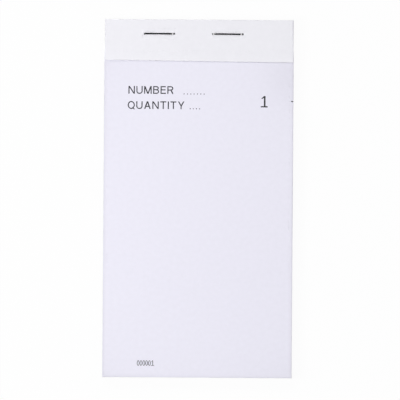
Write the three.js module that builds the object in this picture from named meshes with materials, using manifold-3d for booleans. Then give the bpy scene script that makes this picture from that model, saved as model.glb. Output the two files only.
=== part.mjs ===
// Carbonless order pad: numbered duplicate sets on a grey backing board, with a white card
// strip over their stubs and two wire stitches through the whole of it.
// Millimetres, +Z up. The pad lies on its back, +Y runs towards the stitched head, and the
// origin is under the middle of the board.
import * as THREE from 'three';
import { mergeVertices } from 'three/addons/utils/BufferGeometryUtils.js';
import Module from 'manifold-3d';

const wasm = await Module();
wasm.setup();

// Board, leaves and strip
const padWidth = 90;
const padLength = 170;
const boardThickness = 1.2;
const setCount = 50; // duplicate sets, each an original leaf over a copy leaf
const leafThickness = 0.07;
const leafMargin = 0.1; // the board shows this much past the leaves on each side
const stackDrift = 0.06; // how far one set strays from the next, in its own plane
const stubDepth = 20.1; // head edge of a leaf to its tear line
const stripThickness = 0.4;
const stripInset = 0.3; // the strip stops this much short of the leaves at its two ends
const stripSlant = 0.75; // its lower edge starts on the tear line, and ends this much above it
const stripEndSlant = 0.45; // its right-hand end runs in this much on its way to the head edge

// Tear line: short cuts with ties of paper left between them
const tiePitch = 3.2;
const tieWidth = 0.8;
const cutWidth = 0.3;
const cutSets = 5; // the sets under the top one whose tear line is cut; the buried ones are whole

// Wire stitches
const wireDiameter = 0.65;
const wireSides = 12;
const crownLength = 14.75; // over the outside of the two legs
const wireBend = 0.5; // to the middle of the wire
const bendSteps = 6;
const clinchLength = 4.5; // from the middle of a leg to the tip of its turned-in end
const clinchRecess = 0.03; // the turned-in ends lie this much below the back of the board
const stitchFromHead = 6.8; // head edge of a leaf to the line of the stitches
const stitchCentres = [-18.85, 13.6];
const wireClearance = 0.1; // between the wire and what it is driven through

// What follows from them
const leafWidth = padWidth - 2 * leafMargin;
const headEdge = padLength / 2 - leafMargin;
const footEdge = -headEdge;
const tearLine = headEdge - stubDepth;
const stitchLine = headEdge - stitchFromHead;
const setThickness = 2 * leafThickness;
const copyLevel = boardThickness + (setCount - 1) * setThickness;
const originalLevel = copyLevel + leafThickness;
const stripLevel = originalLevel + leafThickness;
const wireRadius = wireDiameter / 2;
const holeRadius = wireRadius + wireClearance;
const legOffset = crownLength / 2 - wireRadius;
const crownLevel = stripLevel + stripThickness + wireRadius;
const clinchLevel = clinchRecess + wireRadius;

// Each leg as its place and the side on which the middle of its stitch lies
const legs = stitchCentres.flatMap((centre) => [
  { x: centre - legOffset, inward: 1 },
  { x: centre + legOffset, inward: -1 },
]);

const finishes = {
  original: new THREE.MeshStandardMaterial({ color: 0xefedfa, roughness: 0.85, metalness: 0 }),
  copy: new THREE.MeshStandardMaterial({ color: 0xe4ebf7, roughness: 0.85, metalness: 0 }),
  sets: new THREE.MeshStandardMaterial({ color: 0xeae9f4, roughness: 0.88, metalness: 0 }),
  strip: new THREE.MeshStandardMaterial({ color: 0xf1f0f6, roughness: 0.7, metalness: 0 }),
  board: new THREE.MeshStandardMaterial({ color: 0x9a958c, roughness: 0.95, metalness: 0 }),
  wire: new THREE.MeshStandardMaterial({ color: 0x4c4d52, roughness: 0.3, metalness: 1 }),
};

// A solid from a geometry, with its shared corners merged
function solidOf(geometry) {
  const bare = geometry.clone();
  bare.deleteAttribute('normal');
  bare.deleteAttribute('uv');
  const merged = mergeVertices(bare, 1e-5);
  return new wasm.Manifold(new wasm.Mesh({
    numProp: 3,
    vertProperties: new Float32Array(merged.attributes.position.array),
    triVerts: new Uint32Array(merged.index.array),
  }));
}

function geometryOf(solid) {
  const { vertProperties, triVerts, numProp } = solid.getMesh();
  const corners = new Float32Array((vertProperties.length / numProp) * 3);
  for (let i = 0; i < corners.length / 3; i += 1) {
    corners.set(vertProperties.subarray(i * numProp, i * numProp + 3), i * 3);
  }
  const geometry = new THREE.BufferGeometry();
  geometry.setAttribute('position', new THREE.BufferAttribute(corners, 3));
  geometry.setIndex(new THREE.BufferAttribute(triVerts, 1));
  return geometry;
}

// Corners are rounded to a tenth of a micron, so that two faces that touch share one plane
function pieceOf(name, geometry, finish) {
  const { position } = geometry.attributes;
  position.array.forEach((value, index) => {
    position.array[index] = Math.round(value * 1e4) / 1e4;
  });
  geometry.computeVertexNormals();
  const mesh = new THREE.Mesh(geometry, finish);
  mesh.name = name;
  return mesh;
}

function plate(outline, level, thickness) {
  const geometry = new THREE.ExtrudeGeometry(outline, { depth: thickness, bevelEnabled: false });
  return geometry.translate(0, 0, level);
}

function rectangle(left, right, bottom, top) {
  const outline = new THREE.Shape();
  outline.moveTo(left, bottom);
  outline.lineTo(right, bottom);
  outline.lineTo(right, top);
  outline.lineTo(left, top);
  outline.closePath();
  return outline;
}

// A six-sided hole for one leg, with its flats clear of the wire; reach draws it out into a
// slot towards the middle of the stitch, where the wire bends
function legHole(leg, reach) {
  const cornerRadius = holeRadius / Math.cos(Math.PI / 6);
  const hole = new THREE.Path();
  for (let corner = 0; corner < 6; corner += 1) {
    const angle = (corner * Math.PI) / 3;
    const drawn = Math.sign(Math.cos(angle)) === leg.inward ? reach * leg.inward : 0;
    const x = leg.x + drawn + cornerRadius * Math.cos(angle);
    const y = stitchLine + cornerRadius * Math.sin(angle);
    if (corner === 0) hole.moveTo(x, y);
    else hole.lineTo(x, y);
  }
  hole.closePath();
  return hole;
}

function pierce(outline, reach = 0) {
  outline.holes.push(...legs.map((leg) => legHole(leg, reach)));
  return outline;
}

// The cuts of the tear line, in a row centred across the pad, as tall as the whole stack
function tearLineCuts() {
  const count = Math.floor((leafWidth - tieWidth) / tiePitch);
  const first = -((count - 1) * tiePitch) / 2;
  const cuts = Array.from({ length: count }, (_, index) => {
    const cut = new THREE.BoxGeometry(tiePitch - tieWidth, cutWidth, 2 * stripLevel);
    return solidOf(cut.translate(first + index * tiePitch, tearLine, stripLevel));
  });
  return cuts.reduce((all, cut) => all.add(cut));
}

const tearCuts = tearLineCuts();

function perforated(geometry) {
  return geometryOf(solidOf(geometry).subtract(tearCuts));
}

// One duplicate set, both leaves together, strayed a little from its neighbours
function numberedSet(number) {
  const driftX = stackDrift * Math.sin(2.4 * number);
  const driftY = stackDrift * Math.cos(1.7 * number);
  const outline = pierce(rectangle(
    driftX - leafWidth / 2,
    driftX + leafWidth / 2,
    driftY + footEdge,
    driftY + headEdge,
  ));
  const level = boardThickness + (setCount - number) * setThickness;
  const whole = plate(outline, level, setThickness);
  const geometry = number <= cutSets + 1 ? perforated(whole) : whole;
  return pieceOf(`set_${String(number).padStart(2, '0')}`, geometry, finishes.sets);
}

// The board, with slots for the legs and a groove pressed into its back by each turned-in end
function backingBoard() {
  const outline = pierce(
    rectangle(-padWidth / 2, padWidth / 2, -padLength / 2, padLength / 2),
    wireBend,
  );
  let board = solidOf(plate(outline, 0, boardThickness));
  const depth = clinchRecess + wireDiameter + wireClearance;
  const length = clinchLength + holeRadius + wireClearance;
  legs.forEach(({ x, inward }) => {
    const groove = new THREE.BoxGeometry(length, 2 * holeRadius, 2 * depth);
    groove.translate(x + inward * (length / 2 - holeRadius), stitchLine, 0);
    board = board.subtract(solidOf(groove));
  });
  return pieceOf('backing_board', geometryOf(board), finishes.board);
}

// The strip over the stubs. Its lower edge meets the tear line at the right-hand end.
function bindingStrip() {
  const end = leafWidth / 2 - stripInset;
  const outline = new THREE.Shape();
  outline.moveTo(-end, tearLine + stripSlant);
  outline.lineTo(end, tearLine);
  outline.lineTo(end - stripEndSlant, headEdge);
  outline.lineTo(-end, headEdge);
  outline.closePath();
  const strip = plate(pierce(outline, wireBend), stripLevel, stripThickness);
  return pieceOf('binding_strip', strip, finishes.strip);
}

// The middle of the wire as straights and quarter bends, from the tip of one turned-in end up
// its leg, over the crown and down to the other tip. Each step of the curve is one station, so
// that the steps gather in the bends.
class StitchPath extends THREE.Curve {
  constructor(centre) {
    super();
    const tip = legOffset - clinchLength;
    const inner = legOffset - wireBend;
    this.stations = [{ x: -tip, z: clinchLevel, heading: Math.PI }];
    this.bend(-inner, clinchLevel + wireBend, Math.PI);
    this.bend(-inner, crownLevel - wireBend, Math.PI / 2);
    this.bend(inner, crownLevel - wireBend, 0);
    this.bend(inner, clinchLevel + wireBend, -Math.PI / 2);
    this.stations.push({ x: tip, z: clinchLevel, heading: -Math.PI });
    this.centre = centre;
  }

  // A quarter turn to the right about (x, z), entered along the heading
  bend(x, z, heading) {
    for (let step = 0; step <= bendSteps; step += 1) {
      const now = heading - (step / bendSteps) * (Math.PI / 2);
      this.stations.push({
        x: x - wireBend * Math.sin(now),
        z: z + wireBend * Math.cos(now),
        heading: now,
      });
    }
  }

  get steps() {
    return this.stations.length - 1;
  }

  stationAt(u) {
    return this.stations[Math.round(u * this.steps)];
  }

  getPoint(u) {
    const { x, z } = this.stationAt(u);
    return new THREE.Vector3(this.centre + x, stitchLine, z);
  }

  getPointAt(u) {
    return this.getPoint(u);
  }

  getTangentAt(u) {
    const { heading } = this.stationAt(u);
    return new THREE.Vector3(Math.cos(heading), 0, Math.sin(heading));
  }
}

// A round wire in flats that are its true diameter apart, with one flat on the strip
function wireSection() {
  const cornerRadius = wireRadius / Math.cos(Math.PI / wireSides);
  const corners = Array.from({ length: wireSides }, (_, corner) => {
    const angle = ((corner + 0.5) * 2 * Math.PI) / wireSides;
    return new THREE.Vector2(cornerRadius * Math.cos(angle), cornerRadius * Math.sin(angle));
  });
  return new THREE.Shape(corners);
}

function stitch(name, centre) {
  const path = new StitchPath(centre);
  const geometry = new THREE.ExtrudeGeometry(wireSection(), {
    steps: path.steps,
    extrudePath: path,
    bevelEnabled: false,
  });
  return pieceOf(name, geometry, finishes.wire);
}

// The set on top as four pieces: each leaf parts from its stub along the tear line, where
// the ties of the one meet the ties of the other
function topSet() {
  const set = new THREE.Group();
  [
    ['copy', copyLevel, finishes.copy],
    ['original', originalLevel, finishes.original],
  ].forEach(([name, level, finish]) => {
    const stub = pierce(rectangle(-leafWidth / 2, leafWidth / 2, tearLine, headEdge));
    const leaf = rectangle(-leafWidth / 2, leafWidth / 2, footEdge, tearLine);
    set.add(pieceOf(`${name}_stub`, perforated(plate(stub, level, leafThickness)), finish));
    set.add(pieceOf(`${name}_leaf`, perforated(plate(leaf, level, leafThickness)), finish));
  });
  return set;
}

const pad = new THREE.Group();
pad.add(backingBoard());
for (let number = setCount; number > 1; number -= 1) {
  pad.add(numberedSet(number));
}
pad.add(topSet());
pad.add(bindingStrip());
pad.add(stitch('stitch_left', stitchCentres[0]));
pad.add(stitch('stitch_right', stitchCentres[1]));

export default pad;
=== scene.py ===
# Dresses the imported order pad: leaves of thin paper with their tear line, a card strip over
# the stubs, two wire stitches, a grey board, and the print on the pages.
# Metres, +Z up, +Y towards the stitched head, as in the frame.
import math

import bpy
import numpy as np
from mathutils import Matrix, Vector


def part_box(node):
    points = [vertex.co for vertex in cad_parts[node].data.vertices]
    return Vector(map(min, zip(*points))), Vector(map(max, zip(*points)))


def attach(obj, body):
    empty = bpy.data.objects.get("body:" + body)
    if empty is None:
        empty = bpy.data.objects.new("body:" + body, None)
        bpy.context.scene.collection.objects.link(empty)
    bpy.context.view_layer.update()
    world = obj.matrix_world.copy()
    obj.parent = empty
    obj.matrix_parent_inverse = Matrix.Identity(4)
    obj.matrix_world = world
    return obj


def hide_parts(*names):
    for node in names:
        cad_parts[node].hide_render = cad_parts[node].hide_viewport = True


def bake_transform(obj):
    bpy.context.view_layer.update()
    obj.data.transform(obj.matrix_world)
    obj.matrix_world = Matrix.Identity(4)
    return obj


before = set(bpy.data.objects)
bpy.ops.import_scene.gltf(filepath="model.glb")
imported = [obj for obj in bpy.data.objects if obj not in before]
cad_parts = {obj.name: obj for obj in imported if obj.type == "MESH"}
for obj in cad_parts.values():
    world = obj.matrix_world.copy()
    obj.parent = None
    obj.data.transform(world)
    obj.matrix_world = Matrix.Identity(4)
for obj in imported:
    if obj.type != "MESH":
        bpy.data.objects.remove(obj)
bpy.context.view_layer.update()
chance = np.random.default_rng(50)
mm = 0.001
sharpAngle = math.radians(35.0)  # faces that turn by more than this meet in a sharp edge

# Places that the frame gives
leafLow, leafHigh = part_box("original_leaf")
stripLow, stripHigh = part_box("binding_strip")
_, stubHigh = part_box("original_stub")
_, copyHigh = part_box("copy_leaf")
_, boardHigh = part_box("backing_board")
wireBoxes = {name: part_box(name) for name in ("stitch_left", "stitch_right")}
setNames = sorted(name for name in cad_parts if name.startswith("set_"))

leafThickness = leafHigh.z - leafLow.z
headEdge = stubHigh.y
tearLine = leafHigh.y
footEdge = leafLow.y
halfWidth = leafHigh.x
stackHeight = leafHigh.z - boardHigh.z
wireLow, wireHigh = wireBoxes["stitch_left"]
wireRadius = (wireHigh.y - wireLow.y) / 2
stitchLine = (wireHigh.y + wireLow.y) / 2
legPlaces = [
    place
    for low, high in wireBoxes.values()
    for place in (low.x + wireRadius, high.x - wireRadius)
]


# Shapes that the pieces share

def smooth(t):
    # smoothstep: 3 t^2 - 2 t^3, with t held between 0 and 1
    t = np.clip(t, 0.0, 1.0)
    return t * t * (3.0 - 2.0 * t)


def linesOf(*groups):
    # The lines of a grid in rising order, without two that lie within a micron
    lines = np.sort(np.concatenate([np.atleast_1d(group) for group in groups]))
    return lines[np.concatenate([[True], np.diff(lines) > 1e-6])]


def cellsKept(columns, rows, openings):
    # True for each cell of the grid, but false inside an opening (left, right, bottom, top)
    x, y = np.meshgrid((columns[1:] + columns[:-1]) / 2, (rows[1:] + rows[:-1]) / 2)
    kept = np.ones(x.shape, dtype=bool)
    for left, right, bottom, top in openings:
        kept &= ~((x > left) & (x < right) & (y > bottom) & (y < top))
    return kept


def closed(top, under, faces):
    # The top faces, the same faces turned over on the underside, and a wall down each edge
    # that only one face has
    count = len(top)
    sides = np.stack([faces, np.roll(faces, -1, axis=1)], axis=-1).reshape(-1, 2)
    key = sides.min(axis=1) * count + sides.max(axis=1)
    _, where, uses = np.unique(key, return_inverse=True, return_counts=True)
    rim = sides[uses[where] == 1]
    walls = np.stack([rim[:, 0], rim[:, 0] + count, rim[:, 1] + count, rim[:, 1]], axis=1)
    return np.vstack([top, under]), faces, faces[:, ::-1] + count, walls


def soiledAt(x, y):
    # How much painted shade darkens a leaf: in the corners, as the square across it times the
    # fourth power along it, at its rim below the strip, as a cube that fades inwards, and in a
    # bell about a patch at the right of the head of the page
    middle, half = (tearLine + footEdge) / 2, (tearLine - footEdge) / 2
    across, along = np.clip(x / halfWidth, -1.0, 1.0), np.clip((y - middle) / half, -1.0, 1.0)
    inside = np.minimum(halfWidth - np.abs(x), y - footEdge)
    rim = np.clip(1.0 - inside / paper["rimWidth"], 0.0, 1.0) ** 3
    rim = rim * (1.0 - smooth((y - tearLine) / paper["rimEnd"]))
    shadePatchX, shadePatchY = paper["shadePatchPlace"]
    shadePatch = np.exp(-((x - shadePatchX) ** 2 + (y - shadePatchY) ** 2) / paper["shadePatchWidth"] ** 2)
    corners = across**2 * along**4
    return paper["corners"] * corners + paper["rim"] * rim + paper["shadePatch"] * shadePatch


def pieceOf(name, parts):
    # One mesh from several closed parts, each (closed(...), slot of its faces, slot of its
    # walls, tone); its map is its plan, one unit for every mapSize. The tone is darkened by
    # painted shade in the corners, at the rim and in a patch at the head.
    places, faces, slots, tones, start = [], [], [], [], 0
    for (corners, above, below, walls), faceSlot, wallSlot, tone in parts:
        used = np.unique(np.concatenate([above.ravel(), below.ravel()]))
        renumber = np.zeros(len(corners), np.int64)
        renumber[used] = start + np.arange(len(used))
        for group, slot in ((above, faceSlot), (below, faceSlot), (walls, wallSlot)):
            faces.extend(renumber[group].tolist())
            slots.append(np.full(len(group), slot, np.int32))
        places.append(corners[used])
        # painted shade darkens the tone here
        tones.append(tone * (1.0 - soiledAt(*places[-1][:, :2].T)))
        start += len(used)
    places = np.vstack(places)
    mesh = bpy.data.meshes.new(name)
    mesh.from_pydata(places, [], faces)
    mesh.polygons.foreach_set("material_index", np.concatenate(slots))
    mesh.attributes.new("tone", "FLOAT", "POINT").data.foreach_set("value", np.concatenate(tones))
    corners = np.zeros(len(mesh.loops), np.int32)
    mesh.loops.foreach_get("vertex_index", corners)
    plan = (places[corners, :2] / paper["mapSize"]).astype(np.float32)
    mesh.uv_layers.new(name="plan").data.foreach_set("uv", plan.ravel())
    mesh.update()
    mesh.shade_smooth()
    mesh.set_sharp_from_angle(angle=sharpAngle)
    piece = bpy.data.objects.new(name, mesh)
    bpy.context.scene.collection.objects.link(piece)
    return piece


def gridFaces(kept):
    # The corners of each kept cell, in the order that faces up
    rows, columns = kept.shape[0] + 1, kept.shape[1] + 1
    index = np.arange(rows * columns).reshape(rows, columns)
    cells = [index[:-1, :-1], index[:-1, 1:], index[1:, 1:], index[1:, :-1]]
    return np.stack(cells, axis=-1)[kept]


def dress(piece, slot, stoodFor, *materials):
    for material in materials:
        piece.data.materials.append(material)
    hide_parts(*stoodFor)
    return piece


# Nodes of the finishes

def newMaterial(name, colour, roughness, metallic=0.0):
    material = bpy.data.materials.new(name)
    material.use_nodes = True
    tree = material.node_tree
    shader = tree.nodes["Principled BSDF"]
    shader.inputs["Base Color"].default_value = (*colour, 1.0)
    shader.inputs["Roughness"].default_value = roughness
    shader.inputs["Metallic"].default_value = metallic
    return material, tree, shader


def coordinates(tree, output, scale=(1.0, 1.0, 1.0)):
    source = tree.nodes.new("ShaderNodeTexCoord")
    mapping = tree.nodes.new("ShaderNodeMapping")
    mapping.inputs["Scale"].default_value = scale
    tree.links.new(source.outputs[output], mapping.inputs["Vector"])
    return mapping.outputs["Vector"]


def noise(tree, vector, scale, detail=2.0, roughness=0.5):
    # A finish names its patterns in this order: scale, detail and how rough the detail is
    node = tree.nodes.new("ShaderNodeTexNoise")
    node.inputs["Scale"].default_value = scale
    node.inputs["Detail"].default_value = detail
    node.inputs["Roughness"].default_value = roughness
    tree.links.new(vector, node.inputs["Vector"])
    return node.outputs["Fac"]


def ranged(tree, value, low, high, fromLow=0.3, fromHigh=0.7):
    # Most of a noise lies between 0.3 and 0.7
    node = tree.nodes.new("ShaderNodeMapRange")
    limits = {"From Min": fromLow, "From Max": fromHigh, "To Min": low, "To Max": high}
    for key, limit in limits.items():
        node.inputs[key].default_value = limit
    tree.links.new(value, node.inputs["Value"])
    return node.outputs["Result"]


def joined(tree, operation, first, second):
    node = tree.nodes.new("ShaderNodeMath")
    node.operation = operation
    tree.links.new(first, node.inputs[0])
    tree.links.new(second, node.inputs[1])
    return node.outputs["Value"]


def tinted(tree, shader, colour, factor):
    node = tree.nodes.new("ShaderNodeVectorMath")
    node.operation = "SCALE"
    node.inputs[0].default_value = colour
    tree.links.new(factor, node.inputs["Scale"])
    tree.links.new(node.outputs["Vector"], shader.inputs["Base Color"])


def mixedColours(tree, shader, share, first, second):
    node = tree.nodes.new("ShaderNodeMix")
    node.data_type = "RGBA"
    node.inputs["A"].default_value = (*first, 1.0)
    node.inputs["B"].default_value = (*second, 1.0)
    tree.links.new(share, node.inputs["Factor"])
    tree.links.new(node.outputs["Result"], shader.inputs["Base Color"])


def bumped(tree, shader, height, strength, distance):
    # A finish names its reliefs in this order: strength and height
    bump = tree.nodes.new("ShaderNodeBump")
    bump.inputs["Strength"].default_value = strength
    bump.inputs["Distance"].default_value = distance
    tree.links.new(height, bump.inputs["Height"])
    tree.links.new(bump.outputs["Normal"], shader.inputs["Normal"])


# Camera, lights and floor

view = {
    "pixel": 0.4744 * mm,  # what one of the picture's pixels covers on the page
    "pixels": 400,
    "middle": (0.90 * mm, -0.63 * mm),  # the point of the pad in the middle of the picture
    "roll": 0.4,  # degrees; the pad lies turned this much clockwise in the picture
    "lens": 200.0,
    "sensor": 36.0,
}

light = {
    "world": (0.435, 0.438, 0.438),
    # Place of each soft lamp, its width, and how much of the light on the page it gives
    "lamps": (
        ((-0.40, -0.04, 0.58), 0.22, 0.298),
        ((-0.35, 1.10, 1.60), 0.50, 0.168),
        ((0.90, 0.05, 1.30), 0.20, 0.06),
    ),
    "floorSize": 6.0,
    "floorDrop": 0.02 * mm,  # it lies this much below the board
    "floorColour": (0.86, 0.86, 0.87),
    "floorRoughness": 0.9,
    "floorWhite": 0.95,  # share of the floor that shows as plain white
    "overhead": 0.30,  # what a mirror shows of the dark camera side, straight above the pad
    "overheadHeights": (0.6, 0.95),  # where that side starts and is full; 1 is straight above
}


def placeCamera():
    camera = bpy.data.cameras.new("camera")
    camera.lens = view["lens"]
    camera.sensor_width = view["sensor"]
    holder = bpy.data.objects.new("camera", camera)
    distance = view["pixel"] * view["pixels"] * view["lens"] / view["sensor"]
    holder.location = (*view["middle"], leafHigh.z + distance)
    holder.rotation_euler = (0.0, 0.0, math.radians(view["roll"]))
    bpy.context.scene.collection.objects.link(holder)
    bpy.context.scene.camera = holder
    bpy.context.scene.view_settings.view_transform = "Standard"


def seenDirectly(tree):
    # 1 for the rays of the camera, of a mirror and through glass, 0 for those of plain light
    path = tree.nodes.new("ShaderNodeLightPath")
    either = joined(tree, "MAXIMUM", path.outputs["Is Camera Ray"], path.outputs["Is Glossy Ray"])
    return joined(tree, "MAXIMUM", either, path.outputs["Is Transmission Ray"])


def lightWorld():
    world = bpy.data.worlds.new("studio")
    world.use_nodes = True
    tree = world.node_tree
    plain = tree.nodes["Background"]
    plain.inputs["Color"].default_value = (*light["world"], 1.0)
    # Seen directly it is white, but in a mirror it darkens from halfway up to straight above
    white = tree.nodes.new("ShaderNodeBackground")
    white.inputs["Color"].default_value = (1.0, 1.0, 1.0, 1.0)
    place = tree.nodes.new("ShaderNodeSeparateXYZ")
    tree.links.new(tree.nodes.new("ShaderNodeTexCoord").outputs["Object"], place.inputs["Vector"])
    dimming = ranged(tree, place.outputs["Z"], 0.0, 1.0 - light["overhead"], *light["overheadHeights"])
    glossy = tree.nodes.new("ShaderNodeLightPath").outputs["Is Glossy Ray"]
    rest = tree.nodes.new("ShaderNodeMath")
    rest.operation = "SUBTRACT"
    rest.inputs[0].default_value = 1.0
    tree.links.new(joined(tree, "MULTIPLY", dimming, glossy), rest.inputs[1])
    tree.links.new(rest.outputs["Value"], white.inputs["Strength"])
    mix = tree.nodes.new("ShaderNodeMixShader")
    tree.links.new(seenDirectly(tree), mix.inputs["Fac"])
    tree.links.new(plain.outputs["Background"], mix.inputs[1])
    tree.links.new(white.outputs["Background"], mix.inputs[2])
    tree.links.new(mix.outputs["Shader"], tree.nodes["World Output"].inputs["Surface"])
    bpy.context.scene.world = world


def placeLamp(place, size, level):
    # A round lamp that faces the pad. It lights the page with pi times its level, so its power
    # is pi^2 times the level and the square of its distance, over the cosine of its slant.
    x, y, z = place
    distance = math.hypot(x, y, z)
    lamp = bpy.data.lights.new("lamp", "AREA")
    lamp.shape = "DISK"
    lamp.size = size
    lamp.energy = math.pi**2 * level * distance**3 / z
    holder = bpy.data.objects.new("lamp", lamp)
    holder.location = place
    holder.rotation_euler = (math.atan2(math.hypot(x, y), z), 0.0, math.atan2(y, x) + math.pi / 2)
    bpy.context.scene.collection.objects.link(holder)


def layFloor():
    half = light["floorSize"] / 2
    under = -light["floorDrop"]
    corners = [(-half, -half, under), (half, -half, under), (half, half, under), (-half, half, under)]
    mesh = bpy.data.meshes.new("floor")
    mesh.from_pydata(corners, [], [(0, 1, 2, 3)])
    floor = bpy.data.objects.new("floor", mesh)
    bpy.context.scene.collection.objects.link(floor)
    material = bpy.data.materials.new("floor")
    material.use_nodes = True
    tree = material.node_tree
    plain = tree.nodes["Principled BSDF"]
    plain.inputs["Base Color"].default_value = (*light["floorColour"], 1.0)
    plain.inputs["Roughness"].default_value = light["floorRoughness"]
    white = tree.nodes.new("ShaderNodeEmission")
    share = tree.nodes.new("ShaderNodeMath")
    share.operation = "MULTIPLY"
    share.inputs[1].default_value = light["floorWhite"]
    tree.links.new(seenDirectly(tree), share.inputs[0])
    mix = tree.nodes.new("ShaderNodeMixShader")
    tree.links.new(share.outputs["Value"], mix.inputs["Fac"])
    tree.links.new(plain.outputs["BSDF"], mix.inputs[1])
    tree.links.new(white.outputs["Emission"], mix.inputs[2])
    tree.links.new(mix.outputs["Shader"], tree.nodes["Material Output"].inputs["Surface"])
    mesh.materials.append(material)


placeCamera()
lightWorld()
for place, size, level in light["lamps"]:
    placeLamp(place, size, level)
layFloor()
print("camera, lights and floor are in place")


# Paper

paper = {
    "mapSize": 100.0 * mm,
    "original": (0.868, 0.852, 0.955),
    "copy": (0.70, 0.80, 0.925),
    "cloud": 0.012,  # how much lighter and darker the clouds in the sheet are
    "cloudPattern": (50.0, 3.0),
    "fibrePattern": (600.0, 3.0, 0.6),
    "fibreRelief": (0.35, 0.01 * mm),
    "streak": 0.10,  # how dark the marks are that the guillotine leaves down the cut edges
    "streakPattern": (260.0, 4.0, 0.7),
    "edgeTone": 0.97,  # a cut edge between these marks, against the face of a leaf
    "roughness": 0.78,
    "gap": 0.006 * mm,  # left over a leaf, for the ink
    "lift": 0.42 * mm,  # how far air lifts the top leaf at the right-hand corner of its foot
    "liftFrom": -20.0 * mm,
    "liftCurve": 1.6,  # the power that makes the lift start slowly
    "liftMiddle": 0.45,  # how much of it is left in the middle of the foot
    "liftSkew": 0.1,  # the share of it that goes with each half width leftwards
    "liftFall": 3.0,  # the leaves below follow by their height to this power
    # The guillotine leaves the edges of the top leaf this much lower, over this width: the left
    # one curls up a little, and the other two end in a burr
    "leftRolls": ((-0.13 * mm, 1.4 * mm),),
    "rightRolls": ((0.12 * mm, 1.6 * mm), (0.13 * mm, 0.5 * mm)),
    "footRolls": ((0.15 * mm, 3.2 * mm), (0.08 * mm, 0.5 * mm)),
    # The strip takes this much of the roll out of the stubs, from a place short of the tear line
    "pressed": 0.7,
    "pressedFrom": -2.0 * mm,
    "pressedOver": 5.0 * mm,
    # How much painted shade darkens the corners of the leaves, their rim, and a patch at the
    # right of the head of the page
    "corners": 0.03,
    "rim": 0.08,
    "rimWidth": 2.4 * mm,
    "rimEnd": 1.0 * mm,
    "shadePatch": 0.045,
    "shadePatchPlace": (43.0 * mm, 56.0 * mm),
    "shadePatchWidth": 10.0 * mm,
    "punchRadius": 0.46 * mm,
    "punchFade": 2.5,  # round the hole the grid straightens out over so many of its radii
    "trim": 0.24 * mm,  # how far the knife runs in at the head, on each side
    "trimWidth": 12.0 * mm,
    "trimOver": 9.0 * mm,
}


def liftAt(x, y, level):
    # How far a leaf lies above its flat place: a smoothstep towards the foot to a power, more
    # at its two corners than in the middle as the square across it, and more towards the right,
    # times the leaf's own height in the stack to a power
    share = np.clip((level - boardHigh.z) / stackHeight, 0.0, 1.0)
    foot = smooth((paper["liftFrom"] - y) / (paper["liftFrom"] - footEdge)) ** paper["liftCurve"]
    middle = paper["liftMiddle"]
    across = middle + (1.0 - middle) * np.clip(np.abs(x) / halfWidth, 0.0, 1.0) ** 2
    skew = 1.0 - paper["liftSkew"] * (1.0 - x / halfWidth)
    return paper["lift"] * share ** paper["liftFall"] * foot * across * skew


def rollAt(x, y, level):
    # A guillotined edge bends by the sum of its rolls, each fading as the square over its width,
    # less for the leaves lower in the stack, and less under the strip by a smoothstep
    share = np.clip((level - boardHigh.z) / stackHeight, 0.0, 1.0)
    fall = np.zeros_like(x)
    for inside, rolls in (
        (halfWidth + x, paper["leftRolls"]),
        (halfWidth - x, paper["rightRolls"]),
        (y - footEdge, paper["footRolls"]),
    ):
        for depth, width in rolls:
            fall = fall + depth * np.clip(1.0 - inside / width, 0.0, 1.0) ** 2
    pressed = smooth((y - tearLine - paper["pressedFrom"]) / paper["pressedOver"])
    return -share * fall * (1.0 - paper["pressed"] * pressed)


def punched(x, y):
    # The squares of the grid about each leg of a stitch become circles: an offset is scaled by
    # its larger side over its length, in full at the hole, and fading out around it
    radius = paper["punchRadius"]
    for leg in legPlaces:
        alongX, alongY = x - leg, y - stitchLine
        side = np.maximum(np.abs(alongX), np.abs(alongY))
        length = np.maximum(np.hypot(alongX, alongY), 1e-9)
        fade = 1.0 - smooth((side - radius) / (paper["punchFade"] * radius))
        scale = 1.0 + fade * (side / length - 1.0)
        x, y = leg + alongX * scale, stitchLine + alongY * scale
    return x, y


def punchLines(places, steps):
    # The lines of the grid at and about each hole, as shares of the hole's radius
    shares = np.array(steps) * paper["punchRadius"]
    return (np.array(places)[:, None] + shares[None, :]).ravel()


def punchCells():
    radius = paper["punchRadius"]
    line = stitchLine
    return [(leg - radius, leg + radius, line - radius, line + radius) for leg in legPlaces]


def trimmed(x, y):
    # The knife runs in at the head, where the strip makes the pad thicker: each side moves in by
    # the trim, times a smoothstep across its last stretch and one up the stubs
    near = smooth((np.abs(x) - halfWidth + paper["trimWidth"]) / paper["trimWidth"])
    return x - np.sign(x) * paper["trim"] * near * smooth((y - tearLine) / paper["trimOver"])


def leafTop(columns, rows, level, stray=(0.0, 0.0), turn=0.0):
    # A flat leaf, pierced, turned and strayed in its plane. Its height is its level plus the
    # lift and the roll that the whole stack has at that place.
    x, y = punched(*np.meshgrid(columns, rows))
    x = trimmed(x, y)
    placeX = x * math.cos(turn) - y * math.sin(turn) + stray[0]
    placeY = x * math.sin(turn) + y * math.cos(turn) + stray[1]
    height = level + liftAt(placeX, placeY, level) + rollAt(placeX, placeY, level)
    return np.stack([placeX, placeY, height], axis=-1).reshape(-1, 3)


def leafOf(columns, rows, level, openings, stray=(0.0, 0.0), turn=0.0):
    # A leaf whose upper face lies just under its level, and its lower face where the pad's is
    top = leafTop(columns, rows, level, stray, turn)
    top[:, 2] -= paper["gap"]
    under = top - np.array([0.0, 0.0, leafThickness - paper["gap"]])
    return closed(top, under, gridFaces(cellsKept(columns, rows, openings)))


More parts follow.
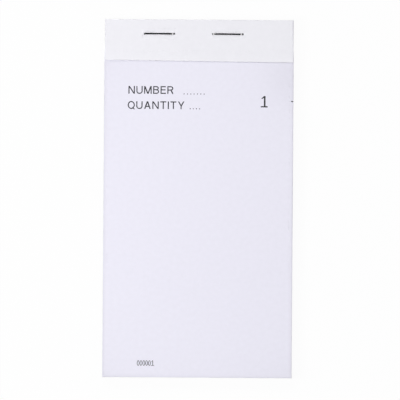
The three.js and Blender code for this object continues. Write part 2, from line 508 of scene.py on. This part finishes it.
def paperMaterial(name, colour, edge=False):
    # Uncoated paper: clouds about two millimetres across and fine fibre in relief. A cut edge
    # has streaks instead, which run down the whole stack because the map is its plan.
    material, tree, shader = newMaterial(name, colour, paper["roughness"])
    plan = coordinates(tree, "UV")
    if edge:
        streaks = noise(tree, plan, *paper["streakPattern"])
        cloud = ranged(tree, streaks, paper["edgeTone"] - paper["streak"], paper["edgeTone"])
    else:
        clouds = noise(tree, plan, *paper["cloudPattern"])
        cloud = ranged(tree, clouds, 1.0 - paper["cloud"], 1.0 + paper["cloud"])
        fibre = noise(tree, plan, *paper["fibrePattern"])
        bumped(tree, shader, fibre, *paper["fibreRelief"])
    tone = tree.nodes.new("ShaderNodeAttribute")
    tone.attribute_name = "tone"
    tinted(tree, shader, colour, joined(tree, "MULTIPLY", cloud, tone.outputs["Fac"]))
    return material


originalPaper = paperMaterial("original_paper", paper["original"])
originalEdge = paperMaterial("original_paper_edge", paper["original"], edge=True)
copyPaper = paperMaterial("copy_paper", paper["copy"])
copyEdge = paperMaterial("copy_paper_edge", paper["copy"], edge=True)


# The top set

tear = {
    "pitch": 3.2 * mm,
    "tie": 0.8 * mm,
    "width": 0.07 * mm,
    "crease": 1.0 * mm,  # the leaves fold within this of the tear line
    "creaseRows": 10,
    "bend": 3.4 * mm,  # and the original bends away from the copy up to here
    "bendRows": 22,
}

page = {
    "columns": 34,
    "rows": 44,
    "stubRows": 9,
    "edgeSteps": np.array([0.0, 0.1, 0.22, 0.36, 0.54, 0.78, 1.1, 1.5, 2.0, 2.6]) * mm,
    "punchSteps": (-3.4, -1.8, -1.0, 0.0, 1.0, 1.8, 3.4),
}


def tearCuts():
    # A row of cuts centred across the page, as many as fit, with a tie of paper between them
    count = int((2 * halfWidth - tear["tie"]) // tear["pitch"])
    middles = (np.arange(count) - (count - 1) / 2) * tear["pitch"]
    half = (tear["pitch"] - tear["tie"]) / 2
    low, high = tearLine - tear["width"] / 2, tearLine + tear["width"] / 2
    return [(middle - half, middle + half, low, high) for middle in middles]


def pageColumns(cuts):
    return linesOf(
        np.linspace(-halfWidth, halfWidth, page["columns"]),
        halfWidth - page["edgeSteps"],
        page["edgeSteps"] - halfWidth,
        punchLines(legPlaces, page["punchSteps"]),
        [cut[0] for cut in cuts],
        [cut[1] for cut in cuts],
    )


def stubRows():
    return linesOf(
        np.linspace(tearLine + tear["width"] / 2, headEdge, page["stubRows"]),
        punchLines([stitchLine], page["punchSteps"]),
    )


def creaseRows():
    return linesOf(
        np.linspace(tearLine - tear["crease"], tearLine - tear["width"] / 2, tear["creaseRows"]),
        tearLine + tear["width"] / 2,
    )


def leafRows():
    return linesOf(
        footEdge + page["edgeSteps"],
        np.linspace(footEdge, tearLine - tear["bend"], page["rows"]),
        np.linspace(tearLine - tear["bend"], tearLine - tear["crease"], tear["bendRows"]),
    )


def pageLevel(node):
    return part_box(node)[1].z


cuts = tearCuts()
columns = pageColumns(cuts)
openings = punchCells() + cuts

# The copy is one leaf from foot to head, with close rows across the tear line for its fold
wholeRows = linesOf(leafRows(), creaseRows(), stubRows())
copyWhole = leafOf(columns, wholeRows, copyHigh.z, openings)
copyPage = pieceOf("copy_page", [(copyWhole, 0, 1, 1.0)])
dress(copyPage, "copy_paper", ("copy_leaf", "copy_stub"), copyPaper, copyEdge)
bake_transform(copyPage)

# The original has close rows for two bends: with the copy at the tear line, and away from it
# just below. Its two stretches meet just below the tear line.
headRows = linesOf(creaseRows(), stubRows())
originalStub = leafOf(columns, headRows, leafHigh.z, openings)
stubPage = pieceOf("original_stub_page", [(originalStub, 0, 1, 1.0)])
dress(stubPage, "original_paper", ("original_stub",), originalPaper, originalEdge)
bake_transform(stubPage)

originalLeaf = leafOf(columns, leafRows(), leafHigh.z, [])
originalPage = pieceOf("original_page", [(originalLeaf, 0, 1, 1.0)])
dress(originalPage, "original_paper", ("original_leaf",), originalPaper, originalEdge)
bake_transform(originalPage)
print("the top set is made, with", len(cuts), "cuts in its tear line")


# The numbered sets below it

stack = {
    "stray": 0.025 * mm,  # of a set in its bundle
    "leafStray": 0.3,  # of a leaf in its set, as a share of that
    "turn": 0.0001,  # radians, to either side
    "tone": 0.02,  # how much lighter or darker a leaf is than the next
    # The pad was knocked up in bundles of this many sets, which stray further than their leaves
    "bundle": 9,
    "bundleStray": 0.045 * mm,
    "bundleTone": 0.025,
    "columns": 8,
    "rows": 15,
    "edgeSteps": np.array([0.0, 0.22, 0.54, 1.1, 2.6]) * mm,
    "punchSteps": (-2.4, -1.0, 0.0, 1.0, 2.4),
}


def stackLines(low, high, count, *more):
    steps = stack["edgeSteps"]
    return linesOf(np.linspace(low, high, count), low + steps, high - steps, *more)


def numberedSet(name, bundle, columns, rows, openings):
    # Both leaves of a set, which stray with their bundle and alike but for a little
    levels = (pageLevel(name), pageLevel(name) - leafThickness)
    stray = bundle[:2] * stack["bundleStray"] + chance.uniform(-1.0, 1.0, 2) * stack["stray"]
    turn = chance.uniform(-1.0, 1.0) * stack["turn"]
    leaves = []
    for level, slot in zip(levels, (0, 2)):
        own = stray + chance.uniform(-stack["leafStray"], stack["leafStray"], 2) * stack["stray"]
        tone = 1.0 + bundle[2] * stack["bundleTone"] + chance.uniform(-1.0, 1.0) * stack["tone"]
        leaf = leafOf(columns, rows, level, openings, own, turn)
        leaves.append((leaf, slot, slot + 1, tone))
    piece = pieceOf(f"leaves_{name}", leaves)
    dress(piece, "set_paper", (name,), originalPaper, originalEdge, copyPaper, copyEdge)
    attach(piece, "pad")


plainColumns = stackLines(
    -halfWidth, halfWidth, stack["columns"], punchLines(legPlaces, stack["punchSteps"])
)
plainRows = stackLines(
    footEdge, headEdge, stack["rows"], punchLines([stitchLine], stack["punchSteps"])
)
bundles = chance.uniform(-1.0, 1.0, (len(setNames) // stack["bundle"] + 1, 3))
for index, name in enumerate(setNames):
    bundle = bundles[index // stack["bundle"]]
    if index == 0:
        numberedSet(name, bundle, columns, wholeRows, openings)
    else:
        numberedSet(name, bundle, plainColumns, plainRows, punchCells())
print(len(setNames), "sets are stacked under it")


# Binding strip

strip = {
    "colour": (0.888, 0.880, 0.930),
    "slant": 0.75 * mm,  # its lower edge is this much higher at its left-hand end
    "slantDepth": 6.0 * mm,
    "endSlant": 0.25 * mm,  # its right-hand end runs in this much on its way to the head
    "endWidth": 12.0 * mm,
    "liftLeft": 0.11 * mm,  # how far its lower edge stands off the page at its two ends
    "liftRight": 0.22 * mm,
    "liftDepth": 5.0 * mm,
    "edgeRadius": 0.12 * mm,
    "dent": 0.05 * mm,  # the crown of a stitch is pulled this far into the card
    "dentWidth": 0.55 * mm,
    "dentPast": 0.6 * mm,  # it reaches this far past the ends of the crown
    "dentFade": 1.0 * mm,
    "pucker": 0.035 * mm,  # the card rises this much beside a pulled-in crown
    "puckerWidth": 2.2,  # over so many widths of the dent
    "cloudPattern": (420.0, 4.0),
    "cloudTone": (0.988, 1.010),
    "broadPattern": (45.0,),
    "broadTone": (0.994, 1.006),
    "fibrePattern": (4200.0, 3.0, 0.6),
    "fibreRelief": (0.3, 0.012 * mm),
    "sheenPattern": (700.0,),
    "roughness": (0.56, 0.68),
    "columns": 64,
    "edgeSteps": np.array([0.0, 0.016, 0.04, 0.074, 0.12, 0.2, 0.5]) * mm,
    "liftSteps": np.array([1.0, 1.7, 2.5, 3.4, 4.4, 5.4, 6.4]) * mm,
    "punchSteps": (
        -3.4, -2.5, -1.9, -1.45, -1.15, -1.0, -0.5, 0.0, 0.5, 1.0, 1.15, 1.45, 1.9, 2.5, 3.4,
    ),
    # Rows of the grid: from the first to the second place, and how many
    "rowsBelow": (8.0 * mm, -2.2 * mm, 4),  # off the lower edge, off the stitches
    "rowsAtStitches": (-1.8 * mm, 1.8 * mm, 19),  # both off the stitches
    "rowsAbove": (2.6 * mm, -1.0 * mm, 4),  # off the stitches, off the head
}


def stripMaterial():
    # Calendered card: faint clouds, a smoother face than the pages and a fine fibre in relief
    material, tree, shader = newMaterial("strip_card", strip["colour"], sum(strip["roughness"]) / 2)
    solid = coordinates(tree, "Object")
    cloud = ranged(tree, noise(tree, solid, *strip["cloudPattern"]), *strip["cloudTone"])
    broad = ranged(tree, noise(tree, solid, *strip["broadPattern"]), *strip["broadTone"])
    tinted(tree, shader, strip["colour"], joined(tree, "MULTIPLY", cloud, broad))
    bumped(tree, shader, noise(tree, solid, *strip["fibrePattern"]), *strip["fibreRelief"])
    sheen = ranged(tree, noise(tree, solid, *strip["sheenPattern"]), *strip["roughness"])
    tree.links.new(sheen, shader.inputs["Roughness"])
    return material


def roundedEdge(inside, radius):
    # A quarter circle down at the edge: radius - sqrt(radius^2 - (radius - inside)^2)
    reach = np.clip(radius - inside, 0.0, radius)
    return radius - np.sqrt(np.maximum(radius * radius - reach * reach, 0.0))


def rowsBetween(start, stop, band):
    first, last, count = strip[band]
    return np.linspace(start + first, stop + last, count)


def stripLines(end, low):
    # The columns and rows of the strip's grid, closer at its edges and about the stitches
    steps = strip["edgeSteps"]
    columns = linesOf(
        np.linspace(-end, end, strip["columns"]),
        steps - end,
        end - steps,
        punchLines(legPlaces, strip["punchSteps"]),
    )
    rows = linesOf(
        low + steps,
        low + strip["liftSteps"],
        rowsBetween(low, stitchLine, "rowsBelow"),
        rowsBetween(stitchLine, stitchLine, "rowsAtStitches"),
        punchLines([stitchLine], strip["punchSteps"]),
        headEdge - steps,
        rowsBetween(stitchLine, headEdge, "rowsAbove"),
    )
    return columns, rows


def dentAt(x, y):
    # A trough under each crown with a low bank beside it: two bells across the wire, which fade
    # out past its ends
    across = (y - stitchLine) / strip["dentWidth"]
    bank = strip["pucker"] * np.exp(-((across / strip["puckerWidth"]) ** 2))
    trough = bank - (strip["dent"] + strip["pucker"]) * np.exp(-(across**2))
    under = np.zeros_like(x)
    for left, right in wireBoxes.values():
        middle, half = (left.x + right.x) / 2, (right.x - left.x) / 2
        inside = half + strip["dentPast"] - np.abs(x - middle)
        under = np.maximum(under, smooth(inside / strip["dentFade"]))
    return trough * under


def bindingStrip():
    end, low = stripHigh.x, stripLow.y
    columns, rows = stripLines(end, low)
    x, y = punched(*np.meshgrid(columns, rows))
    fromLeft = (x + end) / (2 * end)
    fromLow = y - low
    edge = np.minimum(np.minimum(end - np.abs(x), headEdge - y), fromLow)
    # The right-hand end runs in on its way up, fading out across the strip as a smoothstep
    nearEnd = smooth((x - (end - strip["endWidth"])) / strip["endWidth"])
    x = x - strip["endSlant"] * nearEnd * np.clip(fromLow / (headEdge - low), 0.0, 1.0)
    # The slant fades out towards the stitches, which keep their own line
    y = y + strip["slant"] * (1.0 - fromLeft) * (1.0 - smooth(fromLow / strip["slantDepth"]))
    # The lower edge stands off the page, more towards the right
    rise = strip["liftLeft"] + (strip["liftRight"] - strip["liftLeft"]) * fromLeft
    rise = rise * np.clip(1.0 - fromLow / strip["liftDepth"], 0.0, 1.0) ** 2
    rise = rise + rollAt(x, y, stripLow.z)
    top = stripHigh.z + rise + dentAt(x, y) - roundedEdge(edge, strip["edgeRadius"])
    topPlaces = np.stack([x, y, top], axis=-1).reshape(-1, 3)
    underPlaces = np.stack([x, y, stripLow.z + rise], axis=-1).reshape(-1, 3)
    faces = gridFaces(cellsKept(columns, rows, punchCells()))
    piece = pieceOf("strip_over_stubs", [(closed(topPlaces, underPlaces, faces), 0, 0, 1.0)])
    dress(piece, "strip_card", ("binding_strip",), stripMaterial())
    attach(piece, "pad")


bindingStrip()
print("the binding strip is laid over the stubs")


# Wire stitches

wire = {
    # The near-black is partly painted: darker than steel, it stands in for the dark surroundings that
    # the crown mirrors, a painted reflection
    "colour": (0.010, 0.010, 0.011),
    "edgeTint": 0.10,  # what is left of the bright rim that metal has at a grazing angle
    # The pale colour of the painted glint, a painted highlight on the bends
    "paintedGlint": (0.92, 0.92, 0.90),
    # How far from the left-hand and the right-hand end of each stitch a painted glint lies on the
    # bend, and how strong it is: a pale patch that stands in for the highlight of the lamps there
    "glintPlaces": {
        "stitch_left": ((0.35 * mm, 0.22), (1.15 * mm, 1.0)),
        "stitch_right": ((0.70 * mm, 0.9), (1.05 * mm, 1.0)),
    },
    "glintWidth": 0.28 * mm,
    "glintPattern": (2600.0,),
    "glintStrength": (0.88, 1.0),  # how much of the painted glint a place shows
    "metallic": (1.0, 0.1),  # of the steel, and where the glint is painted
    "patchPattern": (900.0, 3.0),
    "roughness": (0.24, 0.40),
    "scratchPattern": (9000.0, 2.0, 0.6),
    "scratchAlong": 0.12,  # the scale of the scratches along the wire, against that across it
    "scratchRelief": (0.25, 0.01 * mm),
    "sides": 24,
    "bendRadius": 0.5 * mm,  # to the middle of the wire
    "bendSteps": 14,
    "crownSteps": 90,
    "sag": 0.02 * mm,  # the crown is pulled in this much between its ends
    "clinch": 4.5 * mm,  # from the middle of a leg to the tip of its turned-in end
    "tilt": -0.35,  # degrees; the stitches lie square to the strip's lower edge
    "chisel": 0.5 * mm,  # the cutter leaves each tip as a wedge this long
    "chiselThickness": 0.35,
}


def wireMaterial():
    # Drawn steel: dark, partly as a painted reflection of dark surroundings, with fine scratches
    # along the wire and duller patches, and a pale painted glint near the ends of the crown
    roughness, metallic = sum(wire["roughness"]) / 2, wire["metallic"][0]
    material, tree, shader = newMaterial("stitch_wire", wire["colour"], roughness, metallic)
    solid = coordinates(tree, "Object")
    drawn = coordinates(tree, "Object", (wire["scratchAlong"], 1.0, 1.0))
    patches = ranged(tree, noise(tree, solid, *wire["patchPattern"]), *wire["roughness"])
    tree.links.new(patches, shader.inputs["Roughness"])
    paintedGlint = tree.nodes.new("ShaderNodeAttribute")
    paintedGlint.attribute_name = "paintedGlint"
    glintNoise = ranged(tree, noise(tree, solid, *wire["glintPattern"]), *wire["glintStrength"])
    glintShare = joined(tree, "MULTIPLY", paintedGlint.outputs["Fac"], glintNoise)
    mixedColours(tree, shader, glintShare, wire["colour"], wire["paintedGlint"])
    tree.links.new(ranged(tree, glintShare, *wire["metallic"], 0.0, 1.0), shader.inputs["Metallic"])
    shader.inputs["Specular Tint"].default_value = (*[wire["edgeTint"]] * 3, 1.0)
    bumped(tree, shader, noise(tree, drawn, *wire["scratchPattern"]), *wire["scratchRelief"])
    return material


def quarterTurn(middleX, middleZ, heading):
    # A quarter circle to the right about its middle, entered along the heading
    now = heading - np.linspace(0.0, math.pi / 2, wire["bendSteps"] + 1)
    radius = wire["bendRadius"]
    return np.stack([middleX - radius * np.sin(now), middleZ + radius * np.cos(now), now], axis=1)


def stitchPath(half, clinchLevel, crownLevel):
    # The middle of the wire and its heading: in from one tip, up its leg by quarter circles, over
    # the crown, which sags as a parabola, and down to the other tip
    inner, tip = half - wire["bendRadius"], half - wire["clinch"]
    low, high = clinchLevel + wire["bendRadius"], crownLevel - wire["bendRadius"]
    shares = np.linspace(-1.0, 1.0, wire["crownSteps"] + 1)[1:-1]
    sag = wire["sag"] * (1.0 - shares**2)
    crown = np.stack([inner * shares, crownLevel - sag, 0.0 * shares], axis=1)
    return np.vstack([
        [(-tip, clinchLevel, math.pi), (-tip - wire["chisel"], clinchLevel, math.pi)],
        quarterTurn(-inner, low, math.pi),
        quarterTurn(-inner, high, math.pi / 2),
        crown,
        quarterTurn(inner, high, 0.0),
        quarterTurn(inner, low, -math.pi / 2),
        [(tip + wire["chisel"], clinchLevel, -math.pi), (tip, clinchLevel, -math.pi)],
    ])


def stitch(name, node, material):
    low, high = wireBoxes[node]
    middle = (low.x + high.x) / 2
    half = (high.x - low.x) / 2 - wireRadius
    path = stitchPath(half, low.z + wireRadius, high.z - wireRadius - strip["dent"])
    x, z, heading = path.T
    # Each ring is a circle across the wire: cos a sideways and sin a along the ring's own up,
    # which the chisel thins at the two tips
    angle = np.arange(wire["sides"]) * 2 * math.pi / wire["sides"]
    thin = np.ones(len(path))
    thin[[0, -1]] = wire["chiselThickness"]
    up = wireRadius * np.sin(angle)[None, :] * thin[:, None]
    ringX = x[:, None] - up * np.sin(heading)[:, None]
    ringZ = z[:, None] + up * np.cos(heading)[:, None]
    ringY = np.broadcast_to(wireRadius * np.cos(angle), ringX.shape)
    tilt = math.radians(wire["tilt"])
    placeX = middle + ringX * math.cos(tilt) - ringY * math.sin(tilt)
    placeY = stitchLine + ringX * math.sin(tilt) + ringY * math.cos(tilt)
    places = np.stack([placeX, placeY, ringZ], axis=-1).reshape(-1, 3)
    rings, sides = ringX.shape
    index = np.arange(rings * sides).reshape(rings, sides)
    after = np.roll(index, -1, axis=1)
    faces = np.stack([index[:-1], index[1:], after[1:], after[:-1]], axis=-1).reshape(-1, 4).tolist()
    faces += [index[0].tolist(), index[-1, ::-1].tolist()]
    mesh = bpy.data.meshes.new(name)
    mesh.from_pydata(places, [], faces)
    # The painted glint is a bell about its place, and only on the crown's side of the wire
    paintedGlint = np.zeros(rings)
    for (inward, strength), side in zip(wire["glintPlaces"][node], (-1.0, 1.0)):
        away = side * x - (half + wireRadius - inward)
        paintedGlint += strength * np.exp(-((away / wire["glintWidth"]) ** 2))
    paintedGlint *= z > stripHigh.z
    mesh.attributes.new("paintedGlint", "FLOAT", "POINT").data.foreach_set("value", np.repeat(paintedGlint, sides))
    mesh.shade_smooth()
    mesh.set_sharp_from_angle(angle=sharpAngle)
    piece = bpy.data.objects.new(name, mesh)
    bpy.context.scene.collection.objects.link(piece)
    dress(piece, "stitch_wire", (node,), material)
    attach(piece, "pad")


wireSteel = wireMaterial()
stitch("wire_left", "stitch_left", wireSteel)
stitch("wire_right", "stitch_right", wireSteel)
print("two wire stitches are driven")


# Backing board

board = {
    "colour": (0.36, 0.335, 0.30),
    "light": (0.46, 0.435, 0.395),
    "roughness": 0.92,
    "layerPattern": (160.0, 5.0, 0.65),
    "layerSqueeze": 40.0,  # how many times thinner its clouds are through the board than along it
    "layerShare": (0.1, 1.0),
    "fleckPattern": (2600.0, 2.0, 0.8),
    "fleckAlong": 0.35,  # the scale of the flecks along the board, against that across it
    "fleckLimits": (0.35, 0.75),  # the noise where a fleck starts, and where it is full
    "lightLimits": (0.05, 0.5),  # flecks times layers where the board is dark, and where light
    "grainPattern": (1800.0, 5.0, 0.7),
    "grainRelief": (0.5, 0.04 * mm),
}


def boardMaterial():
    # Grey board of waste paper: clouds, pale and dark fibres, and thin layers at its edges,
    # which come from a pattern that is squeezed through its thickness
    material, tree, shader = newMaterial("grey_board", board["colour"], board["roughness"])
    solid = coordinates(tree, "Object")
    layered = coordinates(tree, "Object", (1.0, 1.0, board["layerSqueeze"]))
    along = coordinates(tree, "Object", (1.0, board["fleckAlong"], 1.0))
    layers = ranged(tree, noise(tree, layered, *board["layerPattern"]), *board["layerShare"])
    fibres = noise(tree, along, *board["fleckPattern"])
    flecks = ranged(tree, fibres, 0.0, 1.0, *board["fleckLimits"])
    both = joined(tree, "MULTIPLY", layers, flecks)
    share = ranged(tree, both, 0.0, 1.0, *board["lightLimits"])
    mixedColours(tree, shader, share, board["colour"], board["light"])
    bumped(tree, shader, noise(tree, solid, *board["grainPattern"]), *board["grainRelief"])
    return material


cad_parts["backing_board"].material_slots[0].material = boardMaterial()
print("the board has its grey finish")


# Print

ink = {
    "label": (0.012, 0.012, 0.020),
    "numeral": (0.004, 0.004, 0.006),
    "height": 0.002 * mm,
    "float": 0.002 * mm,  # between the paper and the underside of the ink
    "layer": 0.0002 * mm,  # strokes that cross differ by this, so that no two faces share a place
    "layers": 6,
    "roughness": 0.55,
    "pale": 0.035,  # how much lighter it is where the fibre takes less of it
    "coverPattern": (5200.0, 3.0, 0.7),
    "coverLimits": (0.35, 0.85),  # the noise where it starts to be pale, and where it is full
    "labels": (
        # A word; its left end, baseline, height and width; and the right end, baseline, pitch and
        # count of the dots after it
        (
            "NUMBER",
            (-33.4 * mm, 49.6 * mm, 3.65 * mm, 21.4 * mm),
            (2.5 * mm, 49.39 * mm, 1.58 * mm, 7),
        ),
        (
            "QUANTITY",
            (-33.7 * mm, 42.4 * mm, 3.65 * mm, 26.9 * mm),
            (0.4 * mm, 42.37 * mm, 1.49 * mm, 4),
        ),
    ),
    "stroke": 0.14,  # of the height of a capital
    "stem": 0.124,  # the width of an upright stroke, and of a leaning one, along the line
    "leaning": 0.15,
    "wide": 1.15,  # the letters are drawn narrow and widened by this
    "bowSteps": 20,
    "dotRadius": 0.25 * mm,
    "dotSides": 12,
    # Left end, baseline, height and width
    "numeralPlace": (29.4 * mm, 43.5 * mm, 5.4 * mm, 3.4 * mm),
    "serialPlace": (-28.5 * mm, -79.4 * mm, 2.5 * mm, 8.2 * mm),
    "serialWeight": 0.82,  # how thick its strokes are for their height, against the labels
    "tick": (1.0 * mm, 0.45 * mm, 46.15 * mm),  # length, thickness and place of the edge mark
    "tickInset": 0.02 * mm,
    "tickSteps": 13,
}


def bar(left, right, bottom, top, lean=0.0):
    # A straight stroke whose top lies further right than its foot by the lean
    corners = [(left, bottom), (right, bottom), (right + lean, top), (left + lean, top)]
    return np.array(corners, dtype=float), np.array([(0, 1, 2), (0, 2, 3)])


def bow(x, y, wide, high, start=0.0, stop=360.0, weight=1.0):
    # A curved stroke between two angles in degrees, with its outer half width and half height:
    # the quads between an outer and an inner ellipse
    whole = stop - start == 360.0
    count = ink["bowSteps"]
    angle = np.radians(np.linspace(start, stop, count + 1))[: count if whole else count + 1]
    ring = np.stack([np.cos(angle), np.sin(angle)], axis=1)
    sizes = np.array([(wide - weight * ink["stem"], high - weight * ink["stroke"]), (wide, high)])
    places = (ring[:, None, :] * sizes[None, :, :]).reshape(-1, 2) + np.array([x, y])
    inner = 2 * np.arange(count)
    after = (inner + 2) % len(places)
    triangles = [[inner, inner + 1, after + 1], [inner, after + 1, after]]
    return places, np.concatenate([np.stack(three, axis=1) for three in triangles])


def letter(name, weight):
    # The width of a letter and its strokes, for a height of 1. A level stroke is thick, an upright
    # one wide and a leaning one lean across.
    thick, wide, lean = (weight * ink[part] for part in ("stroke", "stem", "leaning"))
    half = lean / 2
    post = bar(0, wide, 0, 1)
    return {
        "A": (
            0.76,
            bar(0, lean, 0, 1, 0.38 - half),
            bar(0.76 - lean, 0.76, 0, 1, half - 0.38),
            bar(0.16, 0.6, 0.26, 0.26 + thick),
        ),
        "B": (
            0.67,
            post,
            bar(wide, 0.4, 1 - thick, 1),
            bar(wide, 0.4, 0.46, 0.46 + thick),
            bar(wide, 0.4, 0, thick),
            bow(0.37, 0.73, 0.26, 0.27, -90, 90, weight),
            bow(0.38, 0.292, 0.29, 0.292, -90, 90, weight),
        ),
        "E": (
            0.61,
            post,
            bar(wide, 0.61, 1 - thick, 1),
            bar(wide, 0.57, 0.45, 0.45 + thick),
            bar(wide, 0.61, 0, thick),
        ),
        "I": (wide, post),
        "M": (
            0.86,
            post,
            bar(0.86 - wide, 0.86, 0, 1),
            bar(0.43 - half, 0.43 + half, 0, 1, half - 0.43),
            bar(0.43 - half, 0.43 + half, 0, 1, 0.43 - half),
        ),
        "N": (0.73, post, bar(0.73 - wide, 0.73, 0, 1), bar(0.73 - lean, 0.73, 0, 1, lean - 0.73)),
        "Q": (0.80, bow(0.4, 0.5, 0.4, 0.52, weight=weight), bar(0.66, 0.82, -0.06, 0.22, -0.2)),
        "R": (
            0.70,
            post,
            bar(wide, 0.4, 1 - thick, 1),
            bar(wide, 0.42, 0.43, 0.43 + thick),
            bow(0.39, 0.715, 0.28, 0.285, -90, 90, weight),
            bar(0.7 - lean, 0.7, 0, 0.45, -0.2),
        ),
        "T": (0.68, bar(0, 0.68, 1 - thick, 1), bar(0.34 - wide / 2, 0.34 + wide / 2, 0, 1)),
        "U": (
            0.71,
            bar(0, wide, 0.34, 1),
            bar(0.71 - wide, 0.71, 0.34, 1),
            bow(0.355, 0.345, 0.355, 0.36, 180, 360, weight),
        ),
        "Y": (
            0.74,
            bar(0.37 - half, 0.37 + half, 0.4, 1, half - 0.37),
            bar(0.37 - half, 0.37 + half, 0.4, 1, 0.37 - half),
            bar(0.37 - wide / 2, 0.37 + wide / 2, 0, 0.43),
        ),
        "0": (0.42, bow(0.21, 0.5, 0.21, 0.51, weight=weight)),
        "1": (
            0.53,
            bar(0, 0.53, 0, 0.75 * thick),
            bar(0.24, 0.24 + wide, 0, 1),
            bar(0.03, 0.03 + wide, 0.76, 1, 0.21),
        ),
        "2": (
            0.56,
            bar(0, 0.56, 0, thick),
            bar(0, lean, 0.05, 0.62, 0.36),
            bow(0.28, 0.71, 0.28, 0.29, -25, 165, weight),
        ),
    }[name]


def words(text, left, baseline, height, width, weight=1.0):
    # Letters in a line from left to right, spread until they fill the width
    drawn = [letter(name, weight) for name in text]
    widths = ink["wide"] * np.array([each[0] for each in drawn])
    shape = np.array([ink["wide"], 1.0])
    spare = (width / height - widths.sum()) / max(len(text) - 1, 1)
    starts = np.cumsum(widths + spare) - widths - spare
    return [
        (np.array([left, baseline]) + (places * shape + np.array([start, 0.0])) * height, triangles)
        for start, (_, *strokes) in zip(starts, drawn)
        for places, triangles in strokes
    ]


def dots(right, baseline, pitch, count):
    # A row of round dots that ends at the right: fans of triangles about their middles
    middles = right - pitch * np.arange(count)
    angle = np.radians(np.arange(ink["dotSides"]) * 360.0 / ink["dotSides"])
    ring = np.stack([np.cos(angle), np.sin(angle)], axis=1)
    dot = np.vstack([[(0.0, 0.0)], ring]) * ink["dotRadius"]
    at = np.stack([middles, np.full(count, baseline + ink["dotRadius"])], axis=1)
    places = (at[:, None, :] + dot[None, :, :]).reshape(-1, 2)
    rim = 1 + np.arange(len(ring))
    fan = np.stack([np.zeros_like(rim), rim, np.roll(rim, -1)], axis=1)
    starts = len(dot) * np.arange(count)
    return [(places, (starts[:, None, None] + fan[None, :, :]).reshape(-1, 3))]


def inked(strokes, level, slot):
    # Ink lies on the page: it follows the height that the leaf of this level has there
    parts = []
    for index, (places, triangles) in enumerate(strokes):
        x, y = places.T
        under = level - paper["gap"] + ink["float"] + liftAt(x, y, level) + rollAt(x, y, level)
        low = np.stack([x, y, under], axis=1)
        high = low + np.array([0.0, 0.0, ink["height"] + index % ink["layers"] * ink["layer"]])
        parts.append((closed(high, low, triangles), slot, slot, 1.0))
    return parts


def tickMark():
    # In steps along its length, because the page bends there
    length, thickness, place = ink["tick"]
    right, steps = halfWidth - ink["tickInset"], ink["tickSteps"]
    x, y = np.meshgrid(np.linspace(right - length, right, steps + 1), [place, place + thickness])
    return [(np.stack([x.ravel(), y.ravel()], axis=1), gridFaces(np.ones((1, steps), dtype=bool)))]


def inkMaterial(name, colour):
    # Thin ink on paper fibre: it covers a little unevenly
    material, tree, shader = newMaterial(name, colour, ink["roughness"])
    solid = coordinates(tree, "Object")
    cover = ranged(tree, noise(tree, solid, *ink["coverPattern"]), 0.0, 1.0, *ink["coverLimits"])
    pale = tuple(channel + ink["pale"] for channel in colour)
    mixedColours(tree, shader, cover, colour, pale)
    return material


def printPage(name, body, level, number, materials):
    parts = []
    for label, place, leader in ink["labels"]:
        parts += inked(words(label, *place) + dots(*leader), level, 0)
    serial = words(f"{number:06d}", *ink["serialPlace"], ink["serialWeight"])
    parts += inked(serial, level, 0)
    parts += inked(words(str(number), *ink["numeralPlace"]) + tickMark(), level, 1)
    piece = pieceOf(name, parts)
    for material in materials:
        piece.data.materials.append(material)
    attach(piece, body)


inks = (inkMaterial("label_ink", ink["label"]), inkMaterial("numeral_ink", ink["numeral"]))
printPage("print_on_original", "original_leaf", leafHigh.z, 1, inks)
printPage("print_on_copy", "copy_leaf", copyHigh.z, 1, inks)
printPage("print_on_set_02", "pad", pageLevel("set_02"), 2, inks)
print("the pages are printed")
